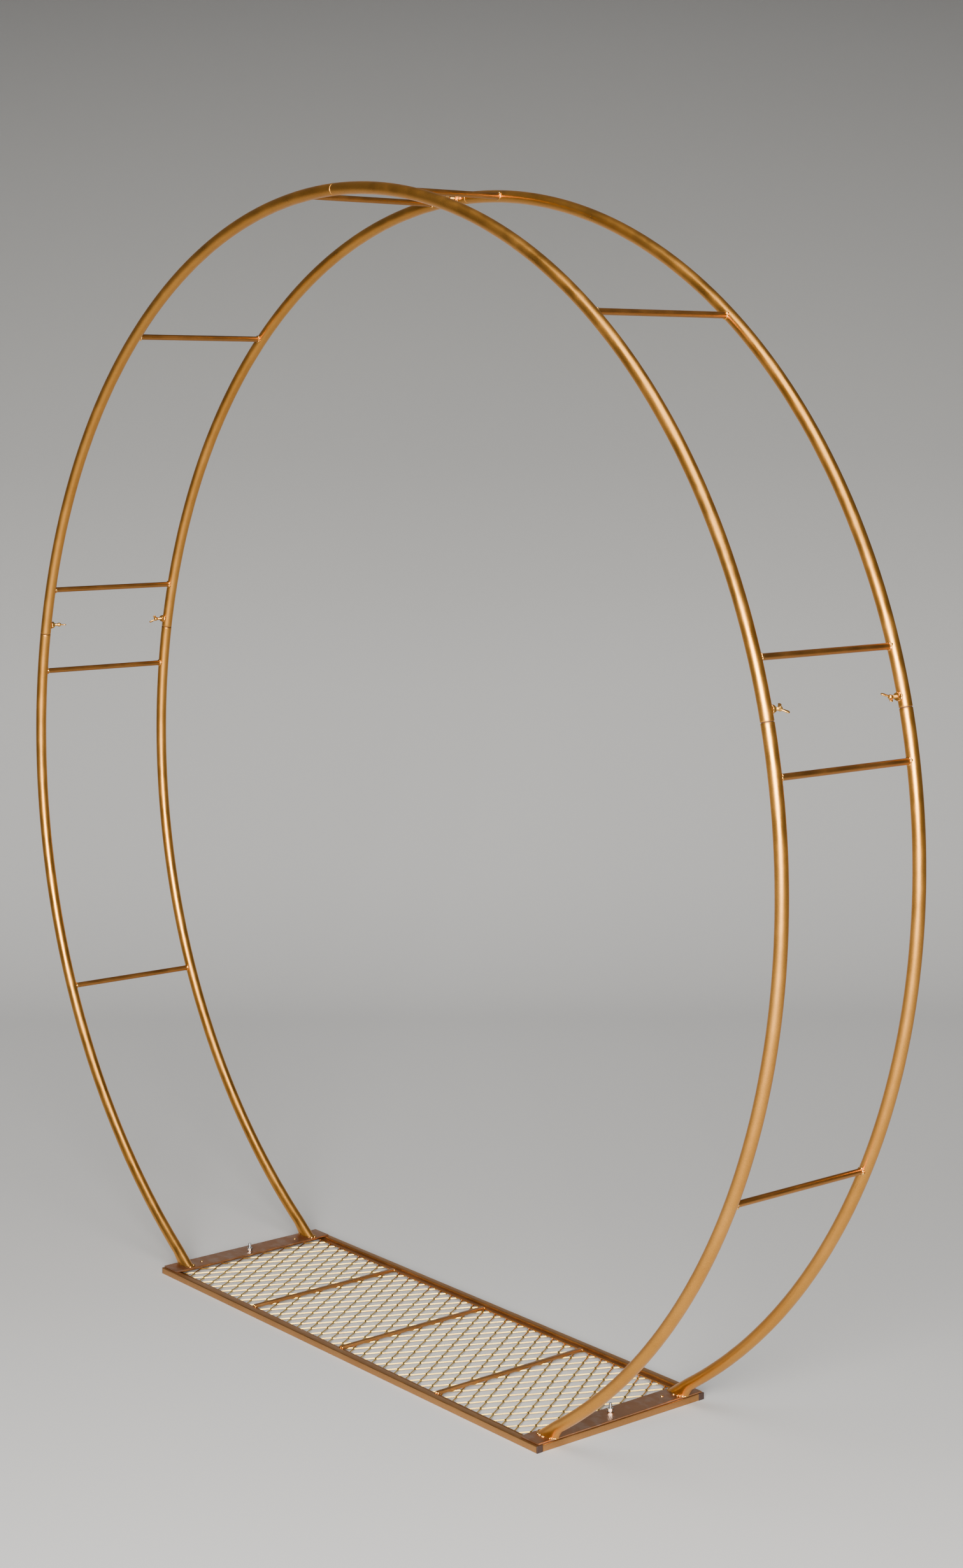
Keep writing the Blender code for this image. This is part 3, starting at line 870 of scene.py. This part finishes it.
def zigzag(middle, flip, low_y, high_y, y_shift):
    """Points of one ribbon: its centre swings from bond to bond as it runs along Y."""
    rise = STRAND_WIDTH / 2 * sin(STRAND_TILT)
    swing = DIAMOND_X / 4 - STRAND_WIDTH / 2 * cos(STRAND_TILT)
    half_wave = DIAMOND_Y / 2
    knots = []
    first = int((low_y - y_shift) / half_wave) - 2
    last = int((high_y - y_shift) / half_wave) + 2
    for k in range(first, last + 1):
        sign = flip * (1 if k % 2 == 0 else -1)
        centre = y_shift + k * half_wave
        for offset, share in ((-BOND_SHARE, 1.0), (BOND_SHARE, 1.0), (0.1, 0.86), (0.5, 0.0), (0.9, -0.86)):
            knots.append((centre + offset * half_wave, sign * share))
    knots = [knot for knot in knots if low_y < knot[0] < high_y]
    points = []
    for y, share in [(low_y, None)] + knots + [(high_y, None)]:
        if share is None:
            share = flip * triangle_wave((y - y_shift) / half_wave)
        points.append(Vector((middle + swing * share, y, rise * share)))
    return points


def triangle_wave(turns):
    """1 at even whole numbers, -1 at odd ones, straight in between."""
    place = turns % 2.0
    return 1.0 - 2.0 * place if place < 1.0 else 2.0 * place - 3.0


def ribbon(bm, points, z):
    """Sweep the tilted strand section along the points."""
    rings = []
    for k, point in enumerate(points):
        ahead = points[min(k + 1, len(points) - 1)]
        behind = points[max(k - 1, 0)]
        run = ahead - behind
        run.z = 0.0
        run.normalize()
        across = Vector((run.y, -run.x, 0.0))
        wide = across * cos(STRAND_TILT) - Vector((0, 0, 1)) * sin(STRAND_TILT)
        thin = across * sin(STRAND_TILT) + Vector((0, 0, 1)) * cos(STRAND_TILT)
        ring = []
        for u, v in ((-0.5, -0.5), (0.5, -0.5), (0.5, 0.5), (-0.5, 0.5)):
            place = point + wide * (u * STRAND_WIDTH) + thin * (v * STRAND_THICK)
            ring.append(bm.verts.new((place.x, place.y, place.z + z)))
        rings.append(ring)
    join_rings(bm, rings)
    bm.faces.new(list(reversed(rings[0])))
    bm.faces.new(rings[-1])


def build_mesh():
    """Expanded metal: ribbons side by side that meet at their bonds, spot-welded at the edges."""
    low, high = corners("mesh_panel")
    bm = bmesh.new()
    ribbons = int((high.x - low.x - 2 * STRAND_WIDTH) / (DIAMOND_X / 2))
    start = -ribbons * DIAMOND_X / 4
    z = (low.z + high.z) / 2 - 0.0004
    spots = bmesh.new()
    for k in range(ribbons + 1):
        middle = start + k * DIAMOND_X / 2
        flip = 1 if k % 2 == 0 else -1
        points = zigzag(middle, flip, low.y + 0.0005, high.y - 0.0005, 0.006)
        ribbon(bm, points, z)
        for end in (points[0], points[-1]):
            if (k + (end.y > 0)) % 2 == 0:
                continue
            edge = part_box("rear_ledge")[0][1] * (1 if end.y > 0 else -1)
            place = Vector((end.x, edge, high.z + 0.0008))
            merge_into(spots, blob(rng.uniform(0.0016, 0.0024), 0.0014), Matrix.Translation(place))
    add_piece("expanded_metal", bm, MESH_PAINT, "stand", ["mesh_panel"], smooth=30.0)
    add_piece("mesh_spot_welds", spots, LEDGE_PAINT, "stand", smooth=60.0)


# ---------------------------------------------------------------- stage, light and camera

def build_stage():
    """A pale sweep: floor, a wide curve behind it and a wall, with painted light falloff: darker towards
    the top and brighter further back.
    """
    bm = bmesh.new()
    bend = 3.2
    back = 2.6
    profile = [(-9.0, 0.0), (back, 0.0)]
    profile += [(back + bend * sin(a), bend - bend * cos(a))
                for a in (pi / 2 * k / 48 for k in range(1, 49))]
    profile.append((back + bend, 9.0))
    rows = []
    for out, up in profile:
        rows.append([bm.verts.new((x, out, up)) for x in (-12.0, 12.0)])
    for first, second in zip(rows, rows[1:]):
        bm.faces.new((first[0], first[1], second[1], second[0]))
    mesh = bpy.data.meshes.new("sweep")
    bm.to_mesh(mesh)
    bm.free()
    mesh.shade_smooth()
    material, nodes, links, shader = new_material("pale_paper_painted_falloff")
    place = nodes.new("ShaderNodeTexCoord")
    split = nodes.new("ShaderNodeSeparateXYZ")
    links.new(place.outputs["Object"], split.inputs["Vector"])
    height = nodes.new("ShaderNodeMath")
    height.operation = "DIVIDE"
    height.inputs[1].default_value = PAINTED_FALLOFF_HEIGHT
    links.new(split.outputs["Z"], height.inputs[0])
    # Painted light falloff: the colour darkens with height up the wall, standing in for the light fading
    # towards the top.
    fade = [(0.0, (0.50, 0.50, 0.50)), (0.05, (0.50, 0.50, 0.498)), (0.19, (0.44, 0.44, 0.437)),
            (0.40, (0.305, 0.305, 0.302)), (0.62, (0.22, 0.22, 0.218)), (0.86, (0.13, 0.13, 0.13))]
    painted_falloff_ramp = ramp(nodes, links, height.outputs["Value"], fade)
    # Painted light: the colour is raised by up to half again further back along the sweep, standing in for
    # how the light spreads over the floor.
    depth = nodes.new("ShaderNodeMapRange")
    depth.interpolation_type = "SMOOTHSTEP"
    depth.inputs["From Min"].default_value = 0.2
    depth.inputs["From Max"].default_value = 3.0
    depth.inputs["To Min"].default_value = 1.0
    depth.inputs["To Max"].default_value = 1.5
    links.new(split.outputs["Y"], depth.inputs["Value"])
    colour = multiply(nodes, links, painted_falloff_ramp.outputs["Color"], depth.outputs["Result"])
    links.new(colour, shader.inputs["Base Color"])
    shader.inputs["Roughness"].default_value = 0.9
    # One-sided, so that the stand can also be seen from behind the wall and from below.
    surface = nodes.new("ShaderNodeNewGeometry")
    clear = nodes.new("ShaderNodeBsdfTransparent")
    one_sided = nodes.new("ShaderNodeMixShader")
    output = next(node for node in nodes if node.type == "OUTPUT_MATERIAL")
    links.new(surface.outputs["Backfacing"], one_sided.inputs[0])
    links.new(shader.outputs["BSDF"], one_sided.inputs[1])
    links.new(clear.outputs["BSDF"], one_sided.inputs[2])
    links.new(one_sided.outputs["Shader"], output.inputs["Surface"])
    mesh.materials.append(material)
    sweep = bpy.data.objects.new("sweep", mesh)
    sweep.rotation_euler = (0.0, 0.0, VIEW_AZIMUTH)
    bpy.context.scene.collection.objects.link(sweep)


def add_area(name, place, target, size, watts, colour):
    """A soft rectangular light, aimed at a point."""
    light = bpy.data.lights.new(name, "AREA")
    light.shape = "RECTANGLE"
    light.size = size[0]
    light.size_y = size[1]
    light.energy = watts
    light.color = colour
    obj = bpy.data.objects.new(name, light)
    obj.location = place
    obj.rotation_euler = (Vector(target) - Vector(place)).to_track_quat("-Z", "Y").to_euler()
    bpy.context.scene.collection.objects.link(obj)


def build_lights():
    """A large key light behind and above the camera, a weak one overhead and a dim room."""
    world = bpy.data.worlds.new("studio")
    world.use_nodes = True
    background = world.node_tree.nodes["Background"]
    background.inputs["Color"].default_value = (0.93, 0.96, 1.0, 1.0)
    background.inputs["Strength"].default_value = 0.08
    bpy.context.scene.world = world
    away = Vector((sin(VIEW_AZIMUTH), -cos(VIEW_AZIMUTH), 0.0))
    across = Vector((cos(VIEW_AZIMUTH), sin(VIEW_AZIMUTH), 0.0))
    high = Vector((0.0, 0.0, 1.0))
    middle = Vector((0.1, 0.0, 0.8))
    add_area("key", away * 5.4 - across * 0.4 + high * 2.2, middle, (3.0, 2.2), 920.0,
             (1.0, 0.97, 0.92))
    add_area("overhead", away * 2.1 + high * 4.3, Vector((0.0, 0.0, 0.2)), (3.0, 2.2), 125.0,
             (1.0, 0.99, 0.97))


def build_camera():
    """The camera, out from the right front corner of the base."""
    camera = bpy.data.cameras.new("camera")
    camera.sensor_fit = "HORIZONTAL"
    camera.sensor_width = SENSOR
    camera.lens = LENS
    camera.shift_y = VIEW_SHIFT_Y
    camera.clip_end = 60.0
    back = Vector((sin(VIEW_AZIMUTH) * cos(VIEW_ELEVATION),
                   -cos(VIEW_AZIMUTH) * cos(VIEW_ELEVATION), sin(VIEW_ELEVATION)))
    right = Vector((cos(VIEW_AZIMUTH), sin(VIEW_AZIMUTH), 0.0))
    up = back.cross(right)
    tilted = right * cos(VIEW_ROLL) + up * sin(VIEW_ROLL)
    upright = up * cos(VIEW_ROLL) - right * sin(VIEW_ROLL)
    obj = bpy.data.objects.new("camera", camera)
    matrix = Matrix((tilted, upright, back)).transposed().to_4x4()
    matrix.translation = VIEW_TARGET + back * VIEW_DISTANCE
    obj.matrix_world = matrix
    bpy.context.scene.collection.objects.link(obj)
    bpy.context.scene.camera = obj


build_camera()
build_tubes()
build_spacers()
build_foot_welds()
build_wing_bolts()
build_rails()
build_flat_bars()
build_plates()
build_mesh()
build_stage()
build_lights()
